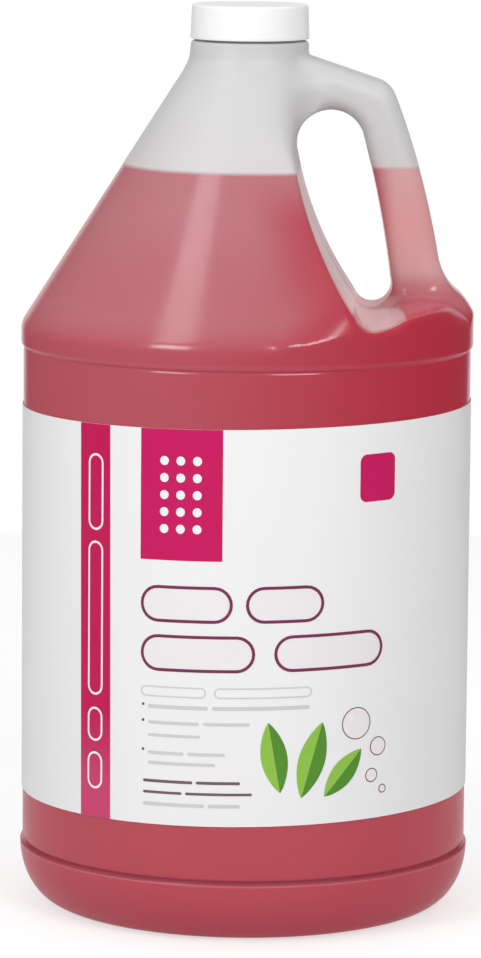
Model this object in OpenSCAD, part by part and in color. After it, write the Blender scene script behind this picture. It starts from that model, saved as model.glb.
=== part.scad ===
// One gallon round handled jug of liquid pet shampoo with a screw cap.
// Millimetres, +Z up. The origin is the centre of the foot on the floor.
// The front of the label faces -Y and the handle stands out towards +X.

/* [Base] */
// Radius of the flat ring the jug stands on
foot_r = 62; // [58:0.5:66]
// Inner radius of that standing ring
foot_inner_r = 56; // [50:0.5:57]
// How far the middle of the base is pushed up
push_up = 4; // [2:0.5:8]
// Radius of the raised ring round the base
base_ring_r = 76.4; // [76:0.1:78]
// Height of the top of the base ring
base_ring_top = 21.8; // [20:0.2:26]

/* [Body] */
// Radius of the straight panel under the label
panel_r = 75.6; // [74:0.1:75.9]
// Height at which the panel meets the hip ring
panel_top = 189.8; // [186:0.2:191]
// Radius of the hip ring above the panel
hip_r = 76.4; // [76:0.1:77]
// Height at which the hip starts to round over
hip_top = 194; // [193:0.2:197]
// Rounding from the hip into the shoulder
hip_rounding = 13; // [10:0.5:14]
// Angle of the conical shoulder from upright
shoulder_angle = 32.5; // [31.8:0.1:33]
// Wall thickness of the moulding
wall = 1.2; // [0.9:0.1:1.8]

/* [Handle] */
// Depth of the handle from front to back
handle_depth = 27; // [24:0.5:30]
// Width of the grip seen from the front
handle_width = 16.2; // [15:0.1:17]
// Rounding of the long edges of the handle
handle_rounding = 6.5; // [5:0.25:7]
// How far the pocket walls open out, as a scale at the front of the cone
pocket_flare = 1.14; // [1.08:0.01:1.2]

/* [Neck finish] */
// Radius of the neck under the thread
neck_r = 17.45; // [17.3:0.05:17.5]
// Radius over the thread
thread_r = 18.55; // [18.4:0.05:18.6]
// Radius of the open bore of the neck
bore_r = 15.4; // [14.5:0.1:15.6]
// Rise of the thread in one turn
thread_pitch = 4.233; // [4:0.001:4.3]
// Height of the top rim of the neck
neck_top = 302.8; // [302:0.1:304]

/* [Cap] */
// Outer radius at the bottom of the cap
cap_r = 19.95; // [19.8:0.05:21]
// Outer radius at the top of the cap
cap_top_r = 19.5; // [19.45:0.05:21]
// Thickness of the cap's top
cap_top_wall = 1.3; // [1:0.1:2]
// Thickness of the foam liner
liner_thickness = 1; // [0.8:0.1:1.5]

/* [Label and contents] */
// Height of the lower edge of the label at the front
label_bottom = 40.3; // [30:0.1:50]
// Height of the label itself
label_height = 131.2; // [100:0.1:134]
// Width of the bare strip at the back between the ends of the label
label_gap = 10; // [4:1:40]
// How far the label was put on askew, in degrees
label_tilt = 0.9; // [0:0.1:1.2]
// Height of the shampoo in the jug
fill_level = 251.8; // [220:0.2:255]

/* [Hidden] */
label_thickness = 0.2;
label_play = 0.05;
liquid_play = 0.08;
$fn = 96;

// Shoulder, measured on its outside
shoulder_start_r = hip_r - hip_rounding * (1 - cos(shoulder_angle));
shoulder_start_z = hip_top + hip_rounding * sin(shoulder_angle);
collar_r = 20.2;
collar_top_r = 19.7;
collar_top = 292.9;
collar_inner_r = 18.4;
function shoulder_z(r) = shoulder_start_z + (shoulder_start_r - r) / tan(shoulder_angle);
collar_bottom = shoulder_z(collar_r);

// Handle seen from the front: x outwards, y upwards
hole_top = [27.5, 258.8];
hole_top_r = 11.4;
hole_bottom = [41.9, 212.2];
hole_bottom_r = 6.4;
hole_lean = atan2(hole_bottom[0] - hole_top[0], hole_top[1] - hole_bottom[1]);
wall_bow = 2.6;
grip_bow = 0.8;
grip_centre = [-211.9, 173.7];
grip_outer_r = 280;
grip_foot_angle = 9;
ridge_start = [24.2, 286.5];
ridge_drop = 18.4;
corner_r = 9;
strap_length = 34;
strap_thickness = 26;
// The strap is a hair larger than the bend it runs into
strap_ease = 0.1;
// The pivot of the corner lies corner_r inside both the ridge and the outside of the grip
ridge_normal = [sin(ridge_drop), cos(ridge_drop)];
pivot_height = ridge_start * ridge_normal - corner_r - grip_centre * ridge_normal;
grip_top_angle = 90 - ridge_drop - acos(pivot_height / (grip_outer_r - corner_r));
corner_pivot = grip_centre + (grip_outer_r - corner_r) * [cos(grip_top_angle), sin(grip_top_angle)];

// Cap
cap_bottom = 293.6;
cap_top = neck_top + liner_thickness + cap_top_wall;
cap_bore_r = 18.8;
cap_thread_r = 17.8;

// Each thread starts at this height and angle. The cap's runs midway between the jug's turns
jug_thread_z = 296.1;
jug_thread_angle = 200;
cap_thread_z = 295.1;
cap_thread_angle = jug_thread_angle + 360 * ((cap_thread_z - jug_thread_z) / thread_pitch - 0.5);
liner_r = 18.2;

// Points along a circular arc
function arc(centre, r, from, to, steps) =
    [for (i = [0 : steps]) let (a = from + (to - from) * i / steps)
        [centre[0] + r * cos(a), centre[1] + r * sin(a)]];

// Points between two ends on a line that bulges to its left by bow
function bowed(p, q, bow, steps) =
    [for (i = [1 : steps - 1]) let (u = i / steps, d = (q - p) / norm(q - p))
        p + (q - p) * u + [-d[1], d[0]] * bow * 4 * u * (1 - u)];

// Outside of the jug from the base to the shoulder, moved inwards by t
function side(t) = concat(
    [[0, push_up + t], [foot_inner_r - 7, push_up + t], [foot_inner_r, t]],
    [for (i = [0 : 8]) let (a = -90 + 90 * i / 8)
        [foot_r + (base_ring_r - foot_r - t) * cos(a),
         base_ring_top - 1.4 + (base_ring_top - 1.4 - t) * sin(a)]],
    [[base_ring_r - t, base_ring_top - 0.8],
     [base_ring_r - 0.5 - t, base_ring_top - 0.2],
     [panel_r - 0.4 - t, base_ring_top + 0.2],
     [panel_r - t, base_ring_top + 1],
     [panel_r - t, panel_top - 0.3],
     [panel_r - 0.3 - t, panel_top + 0.2],
     [hip_r - 0.3 - t, panel_top + 1]],
    arc([hip_r - hip_rounding, hip_top], hip_rounding - t, 0, shoulder_angle, 5));

// Edge of the finger pocket, grown by t: down the wall on the jug side and round the bottom
function pocket_wall(t) = concat(
    bowed(hole_top + (hole_top_r + t) * [-cos(hole_lean), -sin(hole_lean)],
          hole_bottom + (hole_bottom_r + t) * [-cos(hole_lean), -sin(hole_lean)],
          -wall_bow, 8),
    arc(hole_bottom, hole_bottom_r + t, 180 + hole_lean, 270, 5));

// Outline of the open pocket in front of and behind the handle
module pocket_outline(t) {
    polygon(concat(
        arc([38, hole_top[1]], 38 - hole_top[0] + hole_top_r + t, 128, 180 + hole_lean / 2, 8),
        pocket_wall(t),
        [[54.5, 207.4 - t], [62, 206.6 - t], [78, 203.6 - t], [100, 201 - t], [100, 330], [44, 330]]));
}

// Outline of the finger hole itself
module hole_outline(t) {
    polygon(concat(
        arc(hole_top, hole_top_r + t, hole_lean, 180 + hole_lean, 14),
        pocket_wall(t),
        arc(hole_bottom, hole_bottom_r + t, 290, 360 + hole_lean, 5),
        bowed(hole_bottom + (hole_bottom_r + t) * [cos(hole_lean), sin(hole_lean)],
              hole_top + (hole_top_r + t) * [cos(hole_lean), sin(hole_lean)],
              -grip_bow, 6)));
}

// Stands a flat outline up in the plane of the handle, with its depth along Y
module upright() {
    rotate([90, 0, 0]) children();
}

module rounded_block(width, depth, r) {
    square([width - 2 * r, depth], center = true);
    square([width, depth - 2 * r], center = true);
    for (x = [-1, 1], y = [-1, 1])
        translate([x * (width / 2 - r), y * (depth / 2 - r)]) circle(r);
}

// Pockets that leave only the handle standing beside the cone, opening out to front and back
module pockets(t) {
    centre = [44, 244];
    for (face = [0, 180])
        rotate([0, 0, face])
            mirror([face / 180, 0, 0])
                translate([centre[0], 0.5, centre[1]])
                    upright()
                        linear_extrude(height = 90, scale = pocket_flare)
                            translate([-centre[0], -centre[1]])
                                pocket_outline(t);
}

module grip(t) {
    translate([grip_centre[0], 0, grip_centre[1]])
        upright()
            rotate([0, 0, grip_foot_angle])
                rotate_extrude(angle = grip_top_angle - grip_foot_angle)
                    translate([grip_outer_r - handle_width / 2, 0])
                        rounded_block(handle_width - 2 * t, handle_depth - 2 * t, handle_rounding - t);
}

// Outer half of the bend where the grip meets the strap
module grip_corner(t) {
    translate([corner_pivot[0], 0, corner_pivot[1]])
        upright()
            rotate([0, 0, grip_top_angle])
                rotate_extrude(angle = 90 - ridge_drop - grip_top_angle)
                    intersection() {
                        translate([corner_r - handle_width / 2, 0])
                            rounded_block(handle_width - 2 * t, handle_depth - 2 * t, handle_rounding - t);
                        translate([0, -handle_depth]) square([corner_r, 2 * handle_depth]);
                    }
}

// Sloping top of the handle, from the neck out to the corner
module strap(t) {
    translate([corner_pivot[0], 0, corner_pivot[1]])
        rotate([0, ridge_drop - 90, 0])
            linear_extrude(height = strap_length)
                translate([corner_r - strap_thickness / 2 + strap_ease, 0])
                    rounded_block(strap_thickness - 2 * t, handle_depth + 2 * strap_ease - 2 * t,
                                  handle_rounding - t);
}

// Flared foot that carries the grip down on to the hip
module handle_foot(t) {
    intersection() {
        hull() {
            translate([56.5, 0, 220.5 - t])
                linear_extrude(height = 0.5)
                    rounded_block(handle_width - 2 * t, handle_depth - 2 * t, handle_rounding - t, $fn = 24);
            translate([63, 0, hip_top - 0.5])
                linear_extrude(height = 0.5)
                    rounded_block(35.8 - 2 * t, 53 - 2 * t, 11 - t, $fn = 24);
        }
        cylinder(h = 240, r = hip_r - 0.25 - t);
    }
}

// The whole closed form of the jug under the collar, moved inwards by t
module jug_form(t, top_r, top_z) {
    difference() {
        rotate_extrude() polygon(concat(side(t), [[top_r, top_z], [0, top_z]]));
        pockets(t);
    }
    difference() {
        union() {
            strap(t);
            grip_corner(t);
            grip(t);
            handle_foot(t);
        }
        translate([0, handle_depth, 0])
            upright() linear_extrude(height = 2 * handle_depth) hole_outline(t);
    }
}

// Cavity of the jug, with a play for what fills it
module cavity(t) {
    drop = t / sin(shoulder_angle);
    jug_form(t, collar_inner_r, shoulder_z(collar_inner_r) - drop);
}

// One helical thread with run-outs, its ridge pointing outwards (side 1) or inwards (side -1)
module thread(root_r, crest_r, z, turns, root_half, crest_half, phase) {
    steps = floor(turns * 36);
    points = [for (i = [0 : steps]) let (
            a = phase + turns * 360 * i / steps,
            rise = z + thread_pitch * turns * i / steps,
            fade = min(1, i / 5, (steps - i) / 5),
            crest = root_r + (crest_r - root_r) * max(0.12, fade),
            p = [[root_r, -root_half], [crest, -crest_half], [crest, crest_half], [root_r, root_half]])
        for (q = p) [q[0] * cos(a), q[0] * sin(a), rise + q[1]]];
    sides = [for (i = [0 : steps - 1], k = [0 : 3]) let (n = (k + 1) % 4)
        each [[4 * i + k, 4 * i + n, 4 * i + 4 + n], [4 * i + k, 4 * i + 4 + n, 4 * i + 4 + k]]];
    ends = [[0, 3, 2], [0, 2, 1], [4 * steps, 4 * steps + 1, 4 * steps + 2],
            [4 * steps, 4 * steps + 2, 4 * steps + 3]];
    all = concat(sides, ends);
    polyhedron(points, crest_r > root_r ? all : [for (f = all) [f[0], f[2], f[1]]]);
}

module jug_body() {
    color([0.86, 0.86, 0.86, 0.6])
    difference() {
        union() {
            jug_form(0, collar_r, collar_bottom);
            // Collar under the cap
            rotate_extrude()
                polygon([[0, collar_bottom - 2], [collar_r, collar_bottom - 2], [collar_r, collar_bottom + 1],
                         [collar_top_r, collar_top - 0.8], [collar_top_r - 0.8, collar_top], [0, collar_top]]);
            cylinder(h = neck_top, r = neck_r);
            thread(neck_r - 0.3, thread_r, jug_thread_z, 1.15, 1.15, 0.45, jug_thread_angle);
        }
        cavity(wall);
        // Bore of the neck, flaring into the shoulder
        rotate_extrude()
            polygon([[0, 280], [collar_inner_r, 280], [collar_inner_r, 289.4],
                     [bore_r, 291.6], [bore_r, neck_top + 1], [0, neck_top + 1]]);
    }
}

module cap() {
    color([0.95, 0.95, 0.95]) {
        rotate_extrude()
            polygon(concat(
                [[cap_bore_r, cap_bottom], [cap_r, cap_bottom]],
                arc([cap_top_r - 0.9, cap_top - 0.9], 0.9, 0, 90, 5),
                [[0, cap_top], [0, cap_top - cap_top_wall], [cap_bore_r, cap_top - cap_top_wall]]));
        thread(cap_bore_r + 0.2, cap_thread_r, cap_thread_z, 1.3, 0.75, 0.4, cap_thread_angle);
    }
}

module cap_liner() {
    color([0.92, 0.92, 0.9])
    translate([0, 0, neck_top]) cylinder(h = liner_thickness - 0.05, r = liner_r);
}

module label() {
    color([0.94, 0.94, 0.95])
    difference() {
        intersection() {
            difference() {
                cylinder(h = 200, r = panel_r + label_play + label_thickness);
                translate([0, 0, -1]) cylinder(h = 202, r = panel_r + label_play);
            }
            translate([0, 0, label_bottom + label_height / 2])
                rotate([0, -label_tilt, 0])
                    cube([200, 200, label_height], center = true);
        }
        translate([-label_gap / 2, 0, 0]) cube([label_gap, 100, 250]);
    }
}

module shampoo() {
    color([0.72, 0.2, 0.28])
    intersection() {
        cavity(wall + liquid_play);
        cylinder(h = fill_level, r = 100);
    }
}

jug_body();
cap();
cap_liner();
label();
shampoo();
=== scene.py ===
import math
import bmesh
import bpy
import numpy as np
from mathutils import Matrix, Vector


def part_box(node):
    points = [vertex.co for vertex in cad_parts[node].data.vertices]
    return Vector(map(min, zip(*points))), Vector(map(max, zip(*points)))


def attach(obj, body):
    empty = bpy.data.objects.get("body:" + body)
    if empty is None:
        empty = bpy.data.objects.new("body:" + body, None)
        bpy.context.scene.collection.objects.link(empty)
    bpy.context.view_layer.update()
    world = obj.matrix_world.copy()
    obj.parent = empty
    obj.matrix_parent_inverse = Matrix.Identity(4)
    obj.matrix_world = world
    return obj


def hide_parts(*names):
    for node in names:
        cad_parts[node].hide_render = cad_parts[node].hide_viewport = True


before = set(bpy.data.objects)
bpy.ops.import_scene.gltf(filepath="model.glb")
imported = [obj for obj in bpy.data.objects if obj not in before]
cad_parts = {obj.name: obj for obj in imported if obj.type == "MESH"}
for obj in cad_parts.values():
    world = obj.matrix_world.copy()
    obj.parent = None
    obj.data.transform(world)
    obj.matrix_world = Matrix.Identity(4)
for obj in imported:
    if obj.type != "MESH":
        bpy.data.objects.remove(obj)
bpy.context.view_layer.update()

MM = 0.001
SEGMENTS = 192

# ---------------------------------------------------------------- sizes, in millimetres
WALL = 1.2
PANEL_R = 75.6
HIP_R = 76.4
HIP_ROUNDING = 8.0
HIP_TOP = 195.46
COLLAR_ROUNDING = 4.0
SHOULDER = math.radians(32.5)
COLLAR_R = 20.2
# the shoulder is meshed from a distance field between these heights, and turned below and above them
JOIN_LOW = 192.5
JOIN_HIGH = 290.0
JOIN_HIGH_INSIDE = 288.5
NECK_TOP = 302.8
NECK_R = 17.45
BORE_R = 15.4
PITCH = 4.233
CAP_BORE_R = 18.8
HANDLE_HALF = 13.5
HANDLE_ROUNDING = 6.5
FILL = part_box("shampoo")[1].z / MM
LABEL_R = 75.65
LABEL_THICK = 0.2
LABEL_LOW = 40.3
LABEL_TALL = 131.2
LABEL_TILT = math.radians(0.9)
LABEL_GAP = 10.0
# from the outside of the wall to the liquid that shows, and the height of the groove over the base
LIQUID_GAP = 0.12
GROOVE_Z = 21.3


# ---------------------------------------------------------------- small maths
def smoothstep(a, b, x):
    t = np.clip((x - a) / (b - a), 0, 1)
    return t * t * (3 - 2 * t)


def smooth_min(a, b, k):
    h = np.clip(0.5 + 0.5 * (b - a) / k, 0, 1)
    return b + (a - b) * h - k * h * (1 - h)


def smooth_max(a, b, k):
    return -smooth_min(-a, -b, k)


def arc(cx, cy, r, a0, a1, n):
    """Points along a circular arc, angles in degrees."""
    a = np.radians(np.linspace(a0, a1, n + 1))
    return [(cx + r * math.cos(t), cy + r * math.sin(t)) for t in a]


def bowed(p, q, bow, n):
    """Points between p and q on a line that bulges to its left by bow."""
    p, q = np.array(p), np.array(q)
    d = (q - p) / np.linalg.norm(q - p)
    side = np.array([-d[1], d[0]])
    return [tuple(p + (q - p) * u + side * bow * 4 * u * (1 - u)) for u in np.linspace(0, 1, n + 1)[1:-1]]


def polygon_distance(x, y, points):
    """Signed distance to a polygon, negative inside."""
    d = np.full(x.shape, 1e9)
    inside = np.zeros(x.shape, bool)
    for (ax, ay), (bx, by) in zip(points, points[1:] + points[:1]):
        ex, ey = bx - ax, by - ay
        wx, wy = x - ax, y - ay
        t = np.clip((wx * ex + wy * ey) / (ex * ex + ey * ey), 0, 1)
        d = np.minimum(d, (wx - t * ex) ** 2 + (wy - t * ey) ** 2)
        if ay != by:
            inside ^= ((ay > y) != (by > y)) & (x < (bx - ax) * (y - ay) / (by - ay) + ax)
    return np.where(inside, -1, 1) * np.sqrt(d)


# ---------------------------------------------------------------- the jug's form as a distance field
# the finger hole seen from the front: a round top and a round bottom, joined by bowed sides
HOLE_TOP = (27.5, 258.8)
HOLE_TOP_R = 11.4
HOLE_BOTTOM = (41.9, 212.2)
HOLE_BOTTOM_R = 6.4
LEAN = math.atan2(HOLE_BOTTOM[0] - HOLE_TOP[0], HOLE_TOP[1] - HOLE_BOTTOM[1])
LEAN_D = math.degrees(LEAN)


def beside(centre, r, sign):
    """The point level with a centre across the hole's lean, to the left (-1) or the right (1)."""
    return (centre[0] + sign * r * math.cos(LEAN), centre[1] + sign * r * math.sin(LEAN))


POCKET_WALL = (
    [beside(HOLE_TOP, HOLE_TOP_R, -1)]
    + bowed(beside(HOLE_TOP, HOLE_TOP_R, -1), beside(HOLE_BOTTOM, HOLE_BOTTOM_R, -1), -2.6, 14)
    + arc(*HOLE_BOTTOM, HOLE_BOTTOM_R, 180 + LEAN_D, 270, 8)
)
POCKET = (
    arc(38, HOLE_TOP[1], 38 - HOLE_TOP[0] + HOLE_TOP_R, 128, 180 + LEAN_D / 2, 10)
    + POCKET_WALL
    + bowed((48, 207.7), (78, 204), 2.6, 8)
    + [(78, 204), (100, 198), (100, 330), (44, 330)]
)
HOLE = (
    arc(*HOLE_TOP, HOLE_TOP_R, LEAN_D, 180 + LEAN_D, 24)
    + POCKET_WALL[1:]
    + arc(*HOLE_BOTTOM, HOLE_BOTTOM_R, 285, 360 + LEAN_D, 8)
    + bowed(beside(HOLE_BOTTOM, HOLE_BOTTOM_R, 1), beside(HOLE_TOP, HOLE_TOP_R, 1), -0.8, 10)
)
# the handle seen from the front: its top, the long bow of the grip, and the ledge it grows from
GRIP_CENTRE = (-211.9, 173.7)
GRIP_FOOT = (64.6, 219.2)
GRIP_ROOT = (71.6, 208.3)
HANDLE = (
    [(6, 292.6)]
    + arc(40.8, 271.5, 9, 71.6, 21.15, 7)
    + arc(*GRIP_CENTRE, 280, 20.6, 9.6, 10)
    + [GRIP_FOOT]
    + bowed(GRIP_FOOT, GRIP_ROOT, -1.0, 6)
    + [GRIP_ROOT]
    + bowed(GRIP_ROOT, (75.6, 197), 1.0, 6)
    + [(75.6, 196), (40, 196), (10, 200), (6, 284)]
)


def shoulder_curve():
    """The shoulder's outside radius against height, with its corners softened, and the cosine of
    its lean from upright."""
    hip = arc(HIP_R - HIP_ROUNDING, HIP_TOP, HIP_ROUNDING, 0, math.degrees(SHOULDER), 14)
    corner = hip[-1][1] + (hip[-1][0] - COLLAR_R) / math.tan(SHOULDER)
    reach = COLLAR_ROUNDING / math.tan(SHOULDER / 2) * 0.5
    points = (
        [(HIP_R, 180)]
        + hip
        + [(COLLAR_R + reach * math.sin(SHOULDER) * 0.55, corner - reach * math.cos(SHOULDER) * 0.55)]
        + [(COLLAR_R + 0.55, corner - 0.2), (COLLAR_R + 0.12, corner + 1.0), (COLLAR_R - 0.05, corner + 2.0)]
        + [(19.75, 291.6), (19.7, 300)]
    )
    heights = np.linspace(180, 300, 2401)
    radii = np.interp(heights, [z for r, z in points], [r for r, z in points])
    blur = np.hanning(23)
    radii = np.convolve(np.pad(radii, 11, mode="edge"), blur / blur.sum(), mode="valid")
    return heights, radii, 1 / np.sqrt(1 + np.gradient(radii, heights) ** 2)


SHOULDER_Z, SHOULDER_R, SHOULDER_COS = shoulder_curve()


def hip_fold(x, y):
    """Height of the hip's edge, which climbs from the front and the back towards the handle's pocket,
    whether it stands out from the cone (0 to 1), and how softly it bends."""
    turn = np.degrees(np.arctan2(x, np.abs(y)))
    height = 198 + 14.5 * smoothstep(4, 34, turn) - 7.0 * smoothstep(52, 82, turn)
    bend = 8 + 7 * smoothstep(4, 16, turn) * smoothstep(44, 32, turn) + 6 * smoothstep(56, 86, turn)
    return height, smoothstep(2, 11, turn), bend


POCKET_PIVOT = (44, 244)
OPENING = 0.14
BACK_OPENING = 0.34
OPENING_DEPTH = 90


def pocket_place(x, y, z):
    """The place on the pocket's outline that a point belongs to, and how much wider the pocket is
    there. The pockets open out to the front and the back, and the back's floor falls away faster."""
    px, pz = POCKET_PIVOT
    depth = np.abs(y)
    flare = 1 + OPENING * depth / OPENING_DEPTH
    fall = 1 + np.where((y > 0) & (z < pz), BACK_OPENING, OPENING) * depth / OPENING_DEPTH
    return px + (x - px) / flare, pz + (z - pz) / fall, flare


def jug_field(x, y, z):
    """Distance to the jug's outside above the panel, in millimetres, negative inside."""
    r = np.hypot(x, y)
    fold, raised, bend = hip_fold(x, y)
    cheek = smooth_min(HIP_R, HIP_R - 1.15 * (z - fold), bend) - 4 * (1 - raised)
    profile = smooth_max(np.interp(z, SHOULDER_Z, SHOULDER_R), cheek, 0.3 + 5 * raised)
    cone = (r - np.minimum(profile, HIP_R)) * np.interp(z, SHOULDER_Z, SHOULDER_COS)
    px, pz, flare = pocket_place(x, y, z)
    pocket = polygon_distance(px, pz, POCKET) * flare
    body = smooth_max(cone, -pocket, 1.5 + 11 * smoothstep(250, 277, z) + 5 * smoothstep(56, 72, x))
    # the handle's band, with its long edges rounded
    side = polygon_distance(x, z, HANDLE) + HANDLE_ROUNDING
    face = np.abs(y) - HANDLE_HALF + HANDLE_ROUNDING
    slab = np.minimum(np.maximum(side, face), 0) + np.hypot(np.maximum(side, 0), np.maximum(face, 0))
    slab = slab - HANDLE_ROUNDING
    join = 5.5 + 3.5 * smoothstep(232, 245, z) - 7.2 * smoothstep(277, 286, z)
    whole = np.maximum(smooth_min(body, slab, join), r - HIP_R + 0.02)
    hole = polygon_distance(px, pz, HOLE) * flare
    # the edges are rounded on the grip's side of the hole and stay crisp on the jug's side
    across = (x - HOLE_TOP[0]) * math.cos(LEAN) + (z - HOLE_TOP[1]) * math.sin(LEAN)
    return smooth_max(whole, -hole, 0.8 + 5.2 * smoothstep(-4, 5, across))


def veil(x, y, z):
    """How milky the wall looks over the liquid, and how far a spot lies inside the handle's pocket.
    The wall is thicker on the cone and in the pockets and thinner at the hip and beside the pocket's edge.
    It also thins from -x towards +x, most at the hip: painted light, paler on the side that faces the main
    lamps."""
    r = np.hypot(x, y)
    px, pz = pocket_place(x, y, z)[:2]
    pocket = polygon_distance(px, pz, POCKET)
    fold = hip_fold(x, y)[0]
    # painted light: the veil thins towards +x, most of all at the hip, so the side facing the main lamps
    # looks paler
    side = smoothstep(-50, 62, x)
    base = 0.064 - 0.012 * side
    hip = 0.098 - 0.088 * smoothstep(-40, 74, x)
    cone = 0.175 - 0.03 * side + 0.04 * smoothstep(215, 240, z)
    cone = cone * (1 - 0.6 * smoothstep(20, 1, pocket) * smoothstep(252, 235, z))
    thickness_and_light = base + (hip - base) * smoothstep(60, 150, z)
    thickness_and_light = thickness_and_light + (cone - thickness_and_light) * smoothstep(fold - 4, fold + 8, z)
    # the pocket's walls lie under the cone; round the foot of the grip counts as well, but not up it
    sunk = np.interp(z, SHOULDER_Z, SHOULDER_R) - r
    nook = smoothstep(0.5, 2.5, sunk) * smoothstep(3.5, 1.0, np.abs(pocket)) * smoothstep(198, 204, z)
    foot = smoothstep(34, 24, np.abs(y)) * smoothstep(46, 52, x) * smoothstep(200, 206, z)
    nook = np.maximum(nook, foot) * smoothstep(230, 218, np.where(x > 46, z, 0))
    lined = 0.56 - 0.40 * smoothstep(45, 53, x)
    return thickness_and_light + (lined - thickness_and_light) * nook, nook * smoothstep(54, 44, x)


# ---------------------------------------------------------------- meshing the field
def field_grid(step):
    """The jug's field on a grid of points, with the grid's first corner."""
    lo = np.array([-79.0, -79.0, 189.5])
    hi = np.array([79.0, 79.0, 293.0])
    axes = [np.arange(lo[i], hi[i] + step, step) for i in range(3)]
    x, y, z = np.meshgrid(*axes, indexing="ij")
    return lo, jug_field(x, y, z)


def surface_net(values, lo, step, offset):
    """Vertices and quads of the surface where the jug's field equals -offset."""
    field = values + offset
    solid = field < 0
    corners = [(a, b, c) for a in (0, 1) for b in (0, 1) for c in (0, 1)]
    nx, ny, nz = np.array(field.shape) - 1
    count = sum(solid[a : a + nx, b : b + ny, c : c + nz].astype(np.int8) for a, b, c in corners)
    # each cell that the surface crosses takes one vertex, the mean of the crossings on its edges
    crossed = (count > 0) & (count < 8)
    index = np.full(crossed.shape, -1, np.int64)
    index[crossed] = np.arange(crossed.sum())
    cells = np.argwhere(crossed)
    total = np.zeros((len(cells), 3))
    hits = np.zeros(len(cells))
    for p in corners:
        for axis in range(3):
            if p[axis]:
                continue
            q = tuple(p[i] + (i == axis) for i in range(3))
            fa = field[cells[:, 0] + p[0], cells[:, 1] + p[1], cells[:, 2] + p[2]]
            fb = field[cells[:, 0] + q[0], cells[:, 1] + q[1], cells[:, 2] + q[2]]
            m = (fa < 0) != (fb < 0)
            at = (cells[m] + np.array(p)).astype(float)
            at[:, axis] += fa[m] / (fa[m] - fb[m])
            total[m] += at
            hits[m] += 1
    verts = lo + total / hits[:, None] * step
    # each grid edge that the surface crosses takes one quad, through the four cells round it
    quads = []
    for axis in range(3):
        b, c = (axis + 1) % 3, (axis + 2) % 3
        low = [slice(None)] * 3
        high = [slice(None)] * 3
        low[axis], high[axis] = slice(0, -1), slice(1, None)
        for other in (b, c):
            low[other] = high[other] = slice(1, -1)
        sa, sb = solid[tuple(low)], solid[tuple(high)]
        for flip in (False, True):
            at = np.argwhere((~sa & sb) if flip else (sa & ~sb))
            at[:, b] += 1
            at[:, c] += 1
            ring = []
            for db, dc in ((-1, -1), (0, -1), (0, 0), (-1, 0)):
                cell = at.copy()
                cell[:, b] += db
                cell[:, c] += dc
                ring.append(index[cell[:, 0], cell[:, 1], cell[:, 2]])
            quad = np.stack(ring[::-1] if flip else ring, 1)
            quads.append(quad[(quad >= 0).all(1)])
    return verts, np.concatenate(quads)


def settle(verts, quads, offset, rounds=4):
    """Evens the net out and puts every vertex exactly on the surface."""
    pairs = np.concatenate([quads[:, [i, (i + 1) % 4]] for i in range(4)])
    pairs = np.unique(np.sort(pairs, 1), axis=0)
    degree = np.bincount(pairs.ravel(), minlength=len(verts)).astype(float)

    def onto(v):
        """Moves points along the field's slope on to the surface."""
        probe, longest = 0.04, 0.8
        for _ in range(2):
            here = jug_field(*v.T) + offset
            ahead = [jug_field(*(v + probe * along).T) + offset for along in np.eye(3)]
            slope = (np.stack(ahead, 1) - here[:, None]) / probe
            steep = np.maximum((slope**2).sum(1), 0.05)
            move = (here / steep)[:, None] * slope
            size = np.linalg.norm(move, axis=1, keepdims=True)
            v = v - move * np.minimum(1, longest / np.maximum(size, 1e-9))
        return v

    for _ in range(rounds):
        total = np.zeros_like(verts)
        for one, other in (pairs.T, pairs.T[::-1]):
            for i in range(3):
                total[:, i] += np.bincount(one, verts[other, i], len(verts))
        verts = onto(verts * 0.5 + 0.5 * total / degree[:, None])
    return verts


def add_net(bm, verts, quads, low, high, inward):
    """Adds a net to bm, cut off at two heights, and returns the rims left at them."""
    new = [bm.verts.new(v) for v in verts]
    faces = []
    for q in quads:
        ring = [new[i] for i in (q[::-1] if inward else q)]
        try:
            faces.append(bm.faces.new(ring))
        except ValueError:
            pass
    geom = new + faces + list({e for f in faces for e in f.edges})
    for height, up in ((low, False), (high, True)):
        out = bmesh.ops.bisect_plane(
            bm,
            geom=[g for g in geom if g.is_valid],
            plane_co=(0, 0, height),
            plane_no=(0, 0, 1),
            clear_outer=up,
            clear_inner=not up,
            dist=1e-5,
        )
        geom = list(dict.fromkeys(g for g in out["geom"] + geom if g.is_valid))
    verts = [g for g in geom if isinstance(g, bmesh.types.BMVert)]
    bmesh.ops.delete(bm, geom=[v for v in verts if not v.link_faces], context="VERTS")
    edge = [v for v in verts if v.is_valid and any(e.is_boundary for e in v.link_edges)]
    return [[v for v in edge if abs(v.co.z - height) < 1e-3] for height in (low, high)]


def bearing(v):
    """The angle of a vertex round the axis, from 0 to a full turn."""
    return math.atan2(v.co.y, v.co.x) % (2 * math.pi)


def zip_rims(bm, lower, upper, inward):
    """Joins two rings of vertices round the axis with triangles, the lower ring first."""
    a, b = sorted(lower, key=bearing), sorted(upper, key=bearing)
    i = j = 0
    while i < len(a) or j < len(b):
        ai, bj = a[i % len(a)], b[j % len(b)]
        ta = bearing(a[(i + 1) % len(a)]) + 2 * math.pi * ((i + 1) // len(a)) if i < len(a) else 99
        tb = bearing(b[(j + 1) % len(b)]) + 2 * math.pi * ((j + 1) // len(b)) if j < len(b) else 99
        if ta <= tb:
            ring = (ai, a[(i + 1) % len(a)], bj)
            i += 1
        else:
            ring = (ai, b[(j + 1) % len(b)], bj)
            j += 1
        if len(set(ring)) == 3:
            try:
                bm.faces.new(ring[::-1] if inward else ring)
            except ValueError:
                pass


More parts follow.
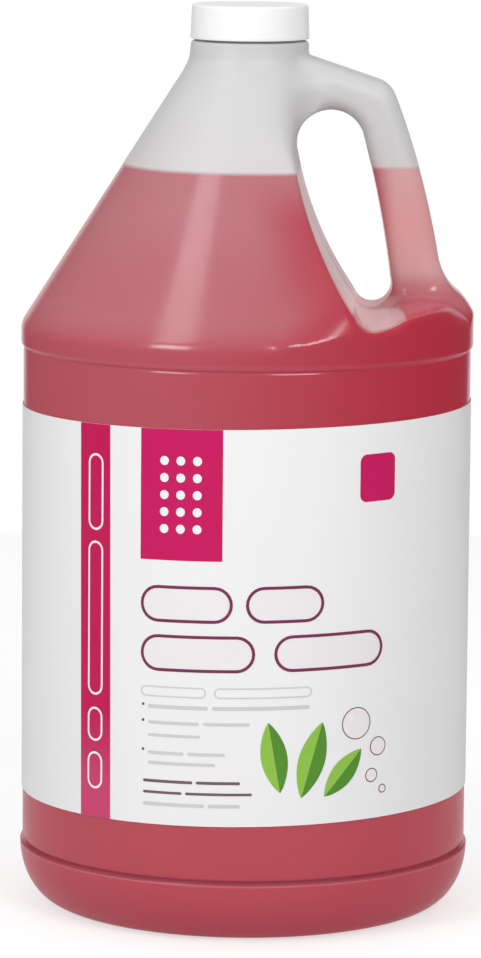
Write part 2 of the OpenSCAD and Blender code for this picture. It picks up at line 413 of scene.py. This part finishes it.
def lathe(bm, profile):
    """Revolves (radius, height) points. A radius may be a function of the angle.
    Outward faces come from a profile that climbs. Returns the rings, where a point on the
    axis gives a single vertex."""
    rings = []
    for r, z in profile:
        if not callable(r) and r < 1e-6:
            rings.append([bm.verts.new((0, 0, z))])
            continue
        ring = []
        for k in range(SEGMENTS):
            a = 2 * math.pi * k / SEGMENTS
            q = r(a) if callable(r) else r
            ring.append(bm.verts.new((q * math.cos(a), q * math.sin(a), z)))
        rings.append(ring)
    for lower, upper in zip(rings, rings[1:]):
        for k in range(SEGMENTS):
            after = (k + 1) % SEGMENTS
            if len(lower) == 1:
                bm.faces.new((lower[0], upper[after], upper[k]))
            elif len(upper) == 1:
                bm.faces.new((lower[k], lower[after], upper[0]))
            else:
                bm.faces.new((lower[k], lower[after], upper[after], upper[k]))
    return rings


def finish_mesh(name, bm, materials, body, replaced, sharp=38):
    """Scales a bmesh from millimetres, makes it an object and hangs it on a body."""
    bmesh.ops.scale(bm, vec=(MM, MM, MM), verts=bm.verts)
    mesh = bpy.data.meshes.new(name)
    bm.normal_update()
    for f in bm.faces:
        f.smooth = True
    bm.to_mesh(mesh)
    bm.free()
    if sharp:
        mesh.set_sharp_from_angle(angle=math.radians(sharp))
    for m in materials:
        mesh.materials.append(m)
    obj = bpy.data.objects.new(name, mesh)
    bpy.context.scene.collection.objects.link(obj)
    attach(obj, body)
    if replaced:
        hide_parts(*replaced)


# ---------------------------------------------------------------- materials
class Nodes:
    """A short way to write a node tree."""

    def __init__(self, tree):
        self.tree = tree
        self.coords = self.add("ShaderNodeTexCoord")

    def add(self, kind, inputs=None, **settings):
        node = self.tree.nodes.new(kind)
        for k, v in settings.items():
            setattr(node, k, v)
        for k, v in (inputs or {}).items():
            self.put(node.inputs[k], v)
        return node

    def put(self, socket, value):
        if isinstance(value, bpy.types.NodeSocket):
            self.tree.links.new(value, socket)
        else:
            socket.default_value = value

    def split(self, vector):
        return self.add("ShaderNodeSeparateXYZ", {"Vector": self.coords.outputs[vector]}).outputs

    def noise(self, scale, detail=3, rough=0.5):
        inputs = {"Scale": scale, "Detail": detail, "Roughness": rough}
        inputs["Vector"] = self.coords.outputs["Object"]
        return self.add("ShaderNodeTexNoise", inputs).outputs["Fac"]

    def span(self, value, a, b, lo, hi):
        """Eases from lo to hi while value goes from a to b."""
        inputs = {"Value": value, "From Min": a, "From Max": b, "To Min": lo, "To Max": hi}
        node = self.add("ShaderNodeMapRange", inputs, interpolation_type="SMOOTHSTEP")
        node.clamp = True
        return node.outputs["Result"]

    def clamp(self, value):
        return self.add("ShaderNodeClamp", {"Value": value}).outputs[0]

    def maths(self, op, a, b=0.0):
        n = self.add("ShaderNodeMath", operation=op)
        self.put(n.inputs[0], a)
        self.put(n.inputs[1], b)
        return n.outputs[0]

    def mix(self, fac, a, b):
        n = self.add("ShaderNodeMix", data_type="RGBA")
        self.put(n.inputs["Factor"], fac)
        self.put(n.inputs[6], a)
        self.put(n.inputs[7], b)
        return n.outputs[2]


class Material(Nodes):
    """A principled material and its node tree."""

    def __init__(self, name):
        self.material = bpy.data.materials.new(name)
        self.material.use_nodes = True
        super().__init__(self.material.node_tree)
        self.bsdf = self.tree.nodes["Principled BSDF"]

    def set(self, **values):
        names = {k.lower().replace(" ", "_"): k for k in self.bsdf.inputs.keys()}
        for k, v in values.items():
            self.put(self.bsdf.inputs[names[k]], v)

    def bump(self, height, strength, distance):
        n = self.add("ShaderNodeBump", {"Height": height, "Strength": strength, "Distance": distance})
        self.put(self.bsdf.inputs["Normal"], n.outputs["Normal"])


def grey(v):
    return (v, v, v, 1)


def jug_wall_material(name, wet, dry):
    """Milky moulded HDPE: a veil over the liquid that follows the wall's thickness, with painted light
    making it paler on the side that faces the main lamps, denser where empty. The handle's pocket has
    painted light and shade: bright pink low down for light shining through the thin wall, and
    grey-brown above for shade in the pocket. Wet and dry say how dense the veil is below the liquid's
    level, as a share of the wall's own, and above it."""
    m = Material(name)
    z = m.split("Object")["Z"]
    fill = FILL * MM
    empty = m.span(z, fill - 0.0012, fill + 0.0006, 0.0, 1.0)
    thickness_and_light = m.add("ShaderNodeAttribute", attribute_name="veil").outputs["Fac"]
    nook = m.add("ShaderNodeAttribute", attribute_name="nook").outputs["Fac"]
    wet_veil = m.maths("MULTIPLY", thickness_and_light, wet)
    level = m.maths("ADD", wet_veil, m.maths("MULTIPLY", empty, m.maths("SUBTRACT", dry, wet_veil)))
    cloud = m.span(m.noise(14.0, 2, 0.5), 0.3, 0.7, 0.95, 1.05)
    m.set(alpha=m.clamp(m.maths("MULTIPLY", level, cloud)))
    tone = m.noise(9.0, 2, 0.5)
    milk = m.mix(tone, (0.69, 0.665, 0.70, 1), (0.75, 0.725, 0.755, 1))
    bare = m.mix(tone, (0.64, 0.635, 0.64, 1), (0.68, 0.675, 0.68, 1))
    # painted light and shade in the handle's pocket: bright pink low down for light through the thin wall,
    # grey-brown higher up for shade
    rise = m.span(z, 0.208, 0.216, 0.0, 1.0)
    pocket_light_and_shade = m.mix(rise, (0.95, 0.62, 0.62, 1), (0.46, 0.385, 0.36, 1))
    lined = m.maths("MULTIPLY", nook, m.span(empty, 0.0, 1.0, 0.9, 0.0))
    m.set(base_color=m.mix(lined, m.mix(empty, milk, bare), pocket_light_and_shade))
    satin = m.span(m.noise(30.0, 4, 0.6), 0.3, 0.7, 0.15, 0.21)
    m.set(roughness=m.maths("ADD", satin, m.maths("MULTIPLY", empty, 0.25)), ior=1.5)
    return m.material


def shampoo_material():
    """Red liquid, paler in the thin column of the handle, with painted shade in the groove over the base. An
    even glow stands for the light that passes through it."""
    m = Material("shampoo_liquid")
    place = m.split("Object")
    in_handle = m.span(place["X"], 0.040, 0.050, 0.0, 1.0)
    above = m.span(place["Z"], 0.208, 0.219, 0.0, 1.0)
    column = m.maths("MULTIPLY", in_handle, above)
    # painted shade: a thin dark band at the groove's height, in both the colour and the glow
    off = m.maths("ABSOLUTE", m.maths("SUBTRACT", place["Z"], GROOVE_Z * MM))
    groove_shade = m.span(off, 0.0002, 0.0009, 0.6, 0.0)
    deep = m.mix(m.noise(6.0, 2, 0.5), (0.27, 0.010, 0.026, 1), (0.31, 0.014, 0.032, 1))
    m.set(base_color=m.mix(groove_shade, m.mix(column, deep, (0.48, 0.21, 0.21, 1)), (0.08, 0.008, 0.014, 1)))
    glow = m.mix(column, (0.5, 0.016, 0.042, 1), (0.62, 0.28, 0.28, 1))
    m.set(emission_color=m.mix(groove_shade, glow, (0.10, 0.004, 0.01, 1)), emission_strength=0.30)
    m.set(roughness=m.span(m.noise(30.0, 4, 0.6), 0.3, 0.7, 0.14, 0.19))
    return m.material


def cap_material():
    m = Material("cap_plastic")
    tone = 0.87
    m.set(base_color=m.mix(m.noise(40.0, 3), grey(tone * 0.985), grey(tone)))
    m.set(roughness=m.span(m.noise(120.0, 3), 0.3, 0.7, 0.32, 0.42))
    m.bump(m.noise(900.0, 3), 0.12, 0.0001)
    return m.material


def foam_material():
    m = Material("liner_foam")
    cells = m.add("ShaderNodeTexVoronoi", {"Vector": m.coords.outputs["Object"], "Scale": 2600.0})
    m.set(base_color=m.mix(cells.outputs["Distance"], grey(0.72), grey(0.84)))
    m.set(roughness=0.8)
    m.bump(cells.outputs["Distance"], 0.5, 0.0002)
    return m.material


def varnish(m):
    """The thin satin varnish on everything printed."""
    m.set(roughness=m.span(m.noise(90.0, 3), 0.3, 0.7, 0.33, 0.41), specular_ior_level=0.25)


def print_material(name, low, high, scale=60.0):
    """Printed film: a slightly uneven ink under varnish."""
    m = Material(name)
    m.set(base_color=m.mix(m.noise(scale, 4, 0.6), low, high))
    varnish(m)
    m.bump(m.noise(500.0, 2), 0.06, 0.0001)
    return m.material


mat_wall = jug_wall_material("jug_wall", 1.0, 0.80)
mat_wall_inside = jug_wall_material("jug_wall_inside", 0.1, 0.5)
mat_shampoo = shampoo_material()
mat_cap = cap_material()
mat_foam = foam_material()
mat_label = print_material("label_film", grey(0.80), grey(0.83), 20.0)

# ---------------------------------------------------------------- the jug
STEP = 1.1
grid_low, grid_values = field_grid(STEP)


def corner_profile(t):
    """Base and panel, moved inwards by t, from the middle of the base up to the hip."""
    push_up = [(0, 4 + t), (30, 4 + t)]
    if t:
        push_up += [(48, 3.6 + t), (57, 0.6 + t)]
    else:
        push_up += [(47, 3.6), (51, 2.8), (54, 1.2), (56, 0.25), (57.5, 0)]
    angles = np.linspace(0, math.pi / 2, 19)
    curve = [(62 + (14.4 - t) * math.sin(a), 20.4 - (20.4 - t) * math.cos(a)) for a in angles]
    ring = [(76.4 - t, 19.9), (76.32 - t, 20.3), (76.0 - t, 20.7), (75.4 - t, 21.0), (75.0 - t, 21.15)]
    ring += [(74.98 - t, 21.4), (75.2 - t, 21.75), (75.45 - t, 22.1), (PANEL_R - t, 22.8)]
    panel = [(PANEL_R - t, z) for z in (30, 39, 106, 173, 182, 188.9)]
    crease = [(75.5 - t, 189.5), (75.3 - t, 189.85), (75.4 - t, 190.15), (75.95 - t, 190.5)]
    crease += [(76.25 - t, 191.0), (76.37 - t, 191.7), (HIP_R - t, JOIN_LOW)]
    return push_up + curve + ring + panel + crease


def thread_ridge(angle, z, start, sweep, foot, tall, half, slope):
    """How far a thread stands out at an angle and a height. It starts at an angle and at the height
    foot, sweeps round and up by so many degrees, and fades in and out over the first and last 30."""
    best = 0.0
    for turn in (0, 1):
        u = ((math.degrees(angle) - start) % 360) + 360 * turn
        if u > sweep:
            continue
        off = abs(z - (foot + PITCH * u / 360))
        fade = min(1, u / 30, (sweep - u) / 30)
        best = max(best, tall * fade * float(np.clip((half - off) / slope, 0, 1)))
    return best


NECK_THREAD = dict(start=200, sweep=414, foot=296.1, tall=1.1, half=1.15, slope=0.6)
CAP_THREAD = dict(start=20 - 360 / PITCH, sweep=468, foot=295.1, tall=1.0, half=0.75, slope=0.4)


def jug_thread(z):
    """The neck's radius against the angle, at a height."""
    return lambda angle: NECK_R + thread_ridge(angle, z, **NECK_THREAD)


def cap_thread(z):
    """The inside radius of the cap's skirt against the angle, at a height."""
    return lambda angle: CAP_BORE_R - thread_ridge(angle, z, **CAP_THREAD)


THREAD_STEP = 0.2


def build_jug():
    bm = bmesh.new()
    rims = []
    for offset, inward, high in ((0.0, False, JOIN_HIGH), (WALL, True, JOIN_HIGH_INSIDE)):
        outer = set(bm.verts)
        before = len(bm.faces)
        rings = lathe(bm, corner_profile(offset))
        if inward:
            bm.faces.ensure_lookup_table()
            bmesh.ops.reverse_faces(bm, faces=bm.faces[before:])
        verts, quads = surface_net(grid_values, grid_low, STEP, offset)
        verts = settle(verts, quads, offset)
        low, rim = add_net(bm, verts, quads, JOIN_LOW, high, inward)
        zip_rims(bm, rings[-1], low, inward)
        rims.append(rim)
    inside = set(bm.verts) - outer
    outer_high, inner_high = rims
    neck = [(19.85, 290.4), (19.75, 291.6), (19.7, 292.1), (19.45, 292.6), (18.9, 292.9), (18.2, 292.95)]
    neck += [(NECK_R + 0.2, 293.0), (NECK_R, 293.2)]
    neck += [(jug_thread(z), z) for z in np.arange(293.5, 302.2, THREAD_STEP)]
    neck += [(NECK_R, 302.3), (17.35, 302.6), (17.1, 302.77), (16.8, NECK_TOP), (16.0, NECK_TOP)]
    neck += [(15.7, 302.75), (15.48, 302.55), (BORE_R, 302.2), (BORE_R, 292.0), (15.8, 291.4), (18.4, 289.7)]
    neck += [(18.85, 289.2)]
    rings = lathe(bm, neck)
    zip_rims(bm, outer_high, rings[0], False)
    zip_rims(bm, inner_high, rings[-1], True)
    # the inside takes its own material, up to the foot of the bore
    for f in bm.faces:
        f.material_index = int(all(v in inside for v in f.verts))
    thick_layer = bm.verts.layers.float.new("veil")
    nook_layer = bm.verts.layers.float.new("nook")
    places = np.array([v.co[:] for v in bm.verts])
    for v, thickness_and_light, nook in zip(bm.verts, *veil(*places.T)):
        v[thick_layer] = float(thickness_and_light)
        v[nook_layer] = float(nook)
    finish_mesh("jug", bm, [mat_wall, mat_wall_inside], "jug", ["jug_body"])


build_jug()


# ---------------------------------------------------------------- the shampoo
def build_shampoo():
    """The liquid up to its level. It lies just inside the outside of the wall, which stands for the
    wall's refraction: a real jug looks filled to its skin."""
    bm = bmesh.new()
    verts, quads = surface_net(grid_values, grid_low, STEP, LIQUID_GAP)
    verts = settle(verts, quads, LIQUID_GAP)
    low = add_net(bm, verts, quads, JOIN_LOW, FILL, False)[0]
    rings = lathe(bm, corner_profile(LIQUID_GAP))
    zip_rims(bm, rings[-1], low, False)
    rim = [e for e in bm.edges if e.is_boundary and all(abs(v.co.z - FILL) < 1e-3 for v in e.verts)]
    bmesh.ops.holes_fill(bm, edges=rim, sides=0)
    bmesh.ops.recalc_face_normals(bm, faces=bm.faces)
    finish_mesh("shampoo_fill", bm, [mat_shampoo], "jug", ["shampoo"])


build_shampoo()


# ---------------------------------------------------------------- cap and liner
def build_cap():
    bm = bmesh.new()
    low, top = (corner.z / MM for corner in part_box("cap"))
    inside = [(0, top - 1.3), (12, top - 1.3), (18.2, top - 1.3), (18.6, top - 1.45), (CAP_BORE_R, top - 1.9)]
    inside += [(cap_thread(z), z) for z in np.arange(low + 8.4, low + 0.7, -THREAD_STEP)]
    inside += [(CAP_BORE_R, low + 0.5), (18.95, low + 0.15), (19.2, low)]
    outside = [(19.6, low), (19.82, low + 0.06), (19.93, low + 0.22), (19.95, low + 0.6), (19.9, low + 1.4)]
    outside += [(19.85, low + 2.4), (19.75, low + 5), (19.62, low + 8), (19.52, low + 10.3)]
    outside += arc(19.5 - 0.8, top - 0.86, 0.8, 0, 80, 6)
    outside += [(18.2, top - 0.04), (17.2, top - 0.1), (16.6, top - 0.14), (8, top - 0.14), (0, top - 0.14)]
    lathe(bm, inside + outside)
    bmesh.ops.recalc_face_normals(bm, faces=bm.faces)
    finish_mesh("screw_cap", bm, [mat_cap], "closure", ["cap"], sharp=50)


def build_liner():
    bm = bmesh.new()
    low, top = (corner.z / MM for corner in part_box("cap_liner"))
    profile = [(0, low), (14, low), (17.9, low), (18.12, low + 0.08), (18.2, low + 0.25)]
    profile += [(18.2, top - 0.2), (18.1, top - 0.05), (17.9, top), (0, top)]
    lathe(bm, profile)
    finish_mesh("foam_liner", bm, [mat_foam], "liner", ["cap_liner"], sharp=50)


build_cap()
build_liner()

# ---------------------------------------------------------------- the label
LABEL_MID = LABEL_LOW + LABEL_TALL / 2


def on_label(u, v, lift):
    """A place on the label: u round it from the front's middle, v up from its lower edge, in
    millimetres. The label's edges lie in planes tipped by the label's tilt, and every point
    stays on the panel."""
    r = LABEL_R + LABEL_THICK + lift
    a = u / (LABEL_R + LABEL_THICK)
    x, y = r * math.sin(a), -r * math.cos(a)
    return Vector((x, y, LABEL_MID + (v - LABEL_TALL / 2) / math.cos(LABEL_TILT) + x * math.tan(LABEL_TILT)))


def build_label():
    bm = bmesh.new()
    half = math.pi * (LABEL_R + LABEL_THICK) - LABEL_GAP / 2
    n = 300
    grid = {}
    for side, lift in ((0, -LABEL_THICK), (1, 0.0)):
        for i in range(n + 1):
            for j, v in enumerate((0.0, LABEL_TALL)):
                grid[side, i, j] = bm.verts.new(on_label(-half + 2 * half * i / n, v, lift))
    for i in range(n):
        bm.faces.new([grid[1, i, 0], grid[1, i + 1, 0], grid[1, i + 1, 1], grid[1, i, 1]])
        bm.faces.new([grid[0, i, 1], grid[0, i + 1, 1], grid[0, i + 1, 0], grid[0, i, 0]])
        bm.faces.new([grid[0, i, 0], grid[0, i + 1, 0], grid[1, i + 1, 0], grid[1, i, 0]])
        bm.faces.new([grid[1, i, 1], grid[1, i + 1, 1], grid[0, i + 1, 1], grid[0, i, 1]])
    for i in (0, n):
        ring = [grid[0, i, 0], grid[1, i, 0], grid[1, i, 1], grid[0, i, 1]]
        bm.faces.new(ring if i else ring[::-1])
    bmesh.ops.recalc_face_normals(bm, faces=bm.faces)
    finish_mesh("label_wrap", bm, [mat_label], "jug", ["label"])


build_label()


# ---------------------------------------------------------------- printing on the label
PRINT_STRIP = 1.5


def print_shapes(name, shapes, material, lift=0.04):
    """Prints flat outlines on the label. Each outline is a list of (u, v) points, convex or not. They
    are cut into upright strips first, so that they follow the label's curve."""
    bm = bmesh.new()
    for outline in shapes:
        verts = [bm.verts.new((u, v, 0)) for u, v in outline]
        edges = [bm.edges.new((a, b)) for a, b in zip(verts, verts[1:] + verts[:1])]
        bmesh.ops.triangle_fill(bm, use_beauty=True, use_dissolve=False, edges=edges)
    us = [v.co.x for v in bm.verts]
    for u in np.arange(math.floor(min(us)) + PRINT_STRIP, max(us), PRINT_STRIP):
        everything = bm.verts[:] + bm.edges[:] + bm.faces[:]
        bmesh.ops.bisect_plane(bm, geom=everything, plane_co=(u, 0, 0), plane_no=(1, 0, 0), dist=1e-5)
    bm.normal_update()
    for f in bm.faces:
        if f.normal.z < 0:
            f.normal_flip()
    for v in bm.verts:
        v.co = on_label(v.co.x, v.co.y, lift)
    finish_mesh(name, bm, [material], "jug", (), sharp=0)


def rect(u0, u1, v0, v1):
    return [(u0, v0), (u1, v0), (u1, v1), (u0, v1)]


def rounded(u0, u1, v0, v1, r, n=5):
    r = min(r, (u1 - u0) / 2 - 1e-4, (v1 - v0) / 2 - 1e-4)
    return (
        arc(u1 - r, v0 + r, r, -90, 0, n)
        + arc(u1 - r, v1 - r, r, 0, 90, n)
        + arc(u0 + r, v1 - r, r, 90, 180, n)
        + arc(u0 + r, v0 + r, r, 180, 270, n)
    )


def disc(u, v, r, n):
    return [(u + r * math.cos(2 * math.pi * k / n), v + r * math.sin(2 * math.pi * k / n)) for k in range(n)]


def outline_ring(u0, u1, v0, v1, r, w):
    """A rounded frame of line width w, as one quad for each step round it."""
    out = rounded(u0, u1, v0, v1, r, 6)
    inn = rounded(u0 + w, u1 - w, v0 + w, v1 - w, max(r - w, 0.05), 6)
    k = len(out)
    return [[out[i], out[(i + 1) % k], inn[(i + 1) % k], inn[i]] for i in range(k)]


def capsule(u0, u1, v0, v1, w):
    """A frame with half-round ends."""
    return outline_ring(u0, u1, v0, v1, min(u1 - u0, v1 - v0) / 2, w)


def faded_ink(name, low, high, v0, v1):
    """An ink that changes colour with the height on the label."""
    m = Material(name)
    t = m.span(m.split("Object")["Z"], (LABEL_LOW + v0) * MM, (LABEL_LOW + v1) * MM, 0.0, 1.0)
    speck = m.span(m.noise(60.0, 4, 0.6), 0.3, 0.7, -0.06, 0.06)
    m.set(base_color=m.mix(m.clamp(m.maths("ADD", t, speck)), low, high))
    varnish(m)
    return m.material


# inks
stripe_ink = faded_ink("ink_stripe", (0.57, 0.055, 0.15, 1), (0.52, 0.004, 0.085, 1), 4, 40)
magenta = print_material("ink_magenta", (0.53, 0.004, 0.10, 1), (0.56, 0.005, 0.11, 1))
white_ink = print_material("ink_white", grey(0.80), grey(0.84))
plum = print_material("ink_plum", (0.17, 0.025, 0.075, 1), (0.21, 0.032, 0.09, 1))
plum_tint = print_material("ink_plum_tint", (0.79, 0.755, 0.77, 1), (0.82, 0.785, 0.80, 1))
dark_ink = print_material("ink_dark", (0.14, 0.09, 0.11, 1), (0.18, 0.12, 0.14, 1))
grey_ink = print_material("ink_grey", grey(0.56), grey(0.62))
leaf_dark = print_material("ink_leaf_dark", (0.07, 0.22, 0.02, 1), (0.10, 0.29, 0.03, 1), 150.0)
leaf_light = print_material("ink_leaf_light", (0.22, 0.46, 0.05, 1), (0.30, 0.56, 0.08, 1), 150.0)

# plain shapes in the label's colour blocks; none of them is lettering
stripe = [(-59.9, 0.02), (-46.9, 0.02), (-47.6, LABEL_TALL - 0.02), (-60.6, LABEL_TALL - 0.02)]
print_shapes("print_stripe", [stripe], stripe_ink)
stripe_marks = []
for v0, v1 in ((9.5, 22.0), (25.5, 37.0), (41.0, 92.5), (96.0, 121.5)):
    stripe_marks += capsule(-56.8, -50.3, v0, v1, 0.75)
print_shapes("print_stripe_marks", stripe_marks, white_ink, 0.07)

print_shapes("print_banner", [rect(-35.6, -7.6, 88.0, 131.18)], magenta)
dots = [disc(-21.6 + 5.6 * i, 109.6 + 5.6 * j, 1.5, 20) for i in (-1, 0, 1) for j in (-2, -1, 0, 1, 2)]
print_shapes("print_banner_dots", dots, white_ink, 0.07)

print_shapes("print_badge", [rounded(38.9, 52.8, 105.7, 121.4, 2.4)], magenta)

titles = [(-35.4, -4.0, 67.5, 79.7), (0.2, 26.3, 67.5, 79.7)]
titles += [(-35.3, 3.4, 51.2, 63.4), (9.6, 48.4, 51.2, 63.4)]
print_shapes("print_title_fill", [rounded(*t, 5.9) for t in titles], plum_tint)
print_shapes("print_title", [q for t in titles for q in capsule(*t, 1.05)], plum, 0.07)

lines = [(-35.2, -12.6, 42.6, 46.2), (-10.0, 22.4, 42.6, 46.2)]
print_shapes("print_subtitle", [q for t in lines for q in capsule(*t, 0.5)], grey_ink)
small = [(-32.6, -12.0, 38.7, 40.0), (-10.6, 21.7, 38.7, 40.0)]
small += [(-32.5, -15.0, 33.5, 34.6), (-13.6, 1.9, 33.5, 34.6)]
small += [(-32.5, -14.5, 29.3, 30.3), (-32.5, -20.0, 23.4, 24.5)]
small += [(-18.8, -6.2, 23.4, 24.5), (-32.5, -9.5, 20.0, 21.1)]
small += [(-34.2, -13.0, 6.2, 7.4), (-11.8, -1.2, 6.2, 7.4)]
print_shapes("print_small_lines", [rounded(*t, 0.5) for t in small], grey_ink)
dark = [(-34.2, -17.0, 14.0, 15.0), (-15.8, -1.2, 14.0, 15.0)]
dark += [(-34.2, -20.6, 10.3, 11.2), (-19.4, 2.7, 10.3, 11.2)]
bullets = [disc(-34.3, v, 0.5, 12) for v in (39.9, 34.6, 24.9)]
print_shapes("print_dark_lines", [rounded(*t, 0.45) for t in dark] + bullets, dark_ink)



def leaf(u, v, length, width, turn, side):
    """Half a pointed leaf, on the side of its rib that side (1 or -1) says."""
    c, d = math.cos(math.radians(turn)), math.sin(math.radians(turn))
    steps = [k / 16 for k in range(17)]
    edge = [(length * t, side * width * math.sin(math.pi * t) ** 0.8) for t in steps]
    rib = [(length * t, 0) for t in steps[-2:0:-1]]
    return [(u + p * c - q * d, v + p * d + q * c) for p, q in edge + rib]


fan = [(12.0, 11.0, 24.0, 4.4, 100), (19.0, 9.0, 26.0, 4.6, 74), (27.0, 9.0, 20.0, 4.0, 48)]
print_shapes("print_leaf_dark", [leaf(*f, -1) for f in fan], leaf_dark, 0.05)
print_shapes("print_leaf_light", [leaf(*f, 1) for f in fan], leaf_light, 0.05)
bubbles = [(38.5, 32.5, 5.4), (47.0, 24.0, 3.2), (44.5, 14.5, 2.4), (49.0, 9.5, 1.5)]
print_shapes("print_bubble_rim", [disc(*b, 40) for b in bubbles], plum, 0.03)
print_shapes("print_bubble_fill", [disc(u, v, r - 0.35, 40) for u, v, r in bubbles], plum_tint, 0.05)
glints = [disc(u - 0.35 * r, v + 0.35 * r, 0.2 * r, 16) for u, v, r in bubbles]
print_shapes("print_bubble_glint", glints, white_ink, 0.07)


# ---------------------------------------------------------------- stage, lights and camera
def build_floor():
    """A round sheet of pale paper, which glows more to the camera than it lights the jug."""
    bm = bmesh.new()
    bmesh.ops.create_circle(bm, cap_ends=True, radius=0.8, segments=128)
    mesh = bpy.data.meshes.new("floor")
    bm.to_mesh(mesh)
    bm.free()
    m = Material("floor_paper")
    m.set(base_color=m.mix(m.noise(3.0, 2), grey(0.39), grey(0.41)), emission_color=grey(1.0))
    m.set(roughness=0.7, specular_ior_level=0.1)
    seen = m.add("ShaderNodeLightPath").outputs["Is Camera Ray"]
    m.set(emission_strength=m.span(seen, 0.0, 1.0, 0.16, 0.62))
    mesh.materials.append(m.material)
    floor = bpy.data.objects.new("floor", mesh)
    bpy.context.scene.collection.objects.link(floor)


def build_world():
    """The studio: white to the camera and an even grey as light. Reflections see a dark room with a
    bright card behind the jug."""
    world = bpy.data.worlds.new("studio")
    world.use_nodes = True
    n = Nodes(world.node_tree)
    ray = n.add("ShaderNodeLightPath").outputs
    card = n.span(n.split("Generated")["Y"], 0.90, 0.97, 0.08, 0.8)
    light = n.span(ray["Is Glossy Ray"], 0.0, 1.0, 0.68, card)
    sky = n.tree.nodes["Background"].inputs
    sky["Color"].default_value = grey(1.0)
    n.put(sky["Strength"], n.span(ray["Is Camera Ray"], 0.0, 1.0, light, 1.0))
    bpy.context.scene.world = world


def softbox(name, place, aim, size, watts):
    data = bpy.data.lights.new(name, "AREA")
    data.shape = "RECTANGLE"
    data.size, data.size_y = size
    data.energy = watts
    lamp = bpy.data.objects.new(name, data)
    lamp.location = place
    lamp.rotation_euler = (Vector(aim) - Vector(place)).to_track_quat("-Z", "Y").to_euler()
    bpy.context.scene.collection.objects.link(lamp)


build_floor()
build_world()
softbox("key_high_left", (-0.74, -0.66, 1.39), (0, 0, 0.23), (0.40, 0.50), 2.4)
softbox("low_left", (-0.94, -1.12, 0.87), (0, 0, 0.18), (0.50, 0.44), 7.0)
softbox("right", (0.61, -1.25, 1.03), (0, 0, 0.18), (0.60, 0.46), 8.0)
softbox("overhead", (0.0, 0.2, 1.9), (0, 0, 0), (1.0, 1.0), 2)

CAMERA_PLACE = (-0.0019, -1.7014, 0.3952)
CAMERA_DOWN = math.radians(8.388)
CAMERA_ROLL = math.radians(0.489)
lens = bpy.data.cameras.new("camera")
lens.sensor_width = 36.0
lens.lens = 190.5
lens.clip_start = 0.01
camera = bpy.data.objects.new("camera", lens)
tilt = Matrix.Rotation(math.radians(90) - CAMERA_DOWN, 4, "X") @ Matrix.Rotation(CAMERA_ROLL, 4, "Z")
camera.matrix_world = Matrix.Translation(CAMERA_PLACE) @ tilt
bpy.context.scene.collection.objects.link(camera)
bpy.context.scene.camera = camera
bpy.context.scene.view_settings.view_transform = "Standard"
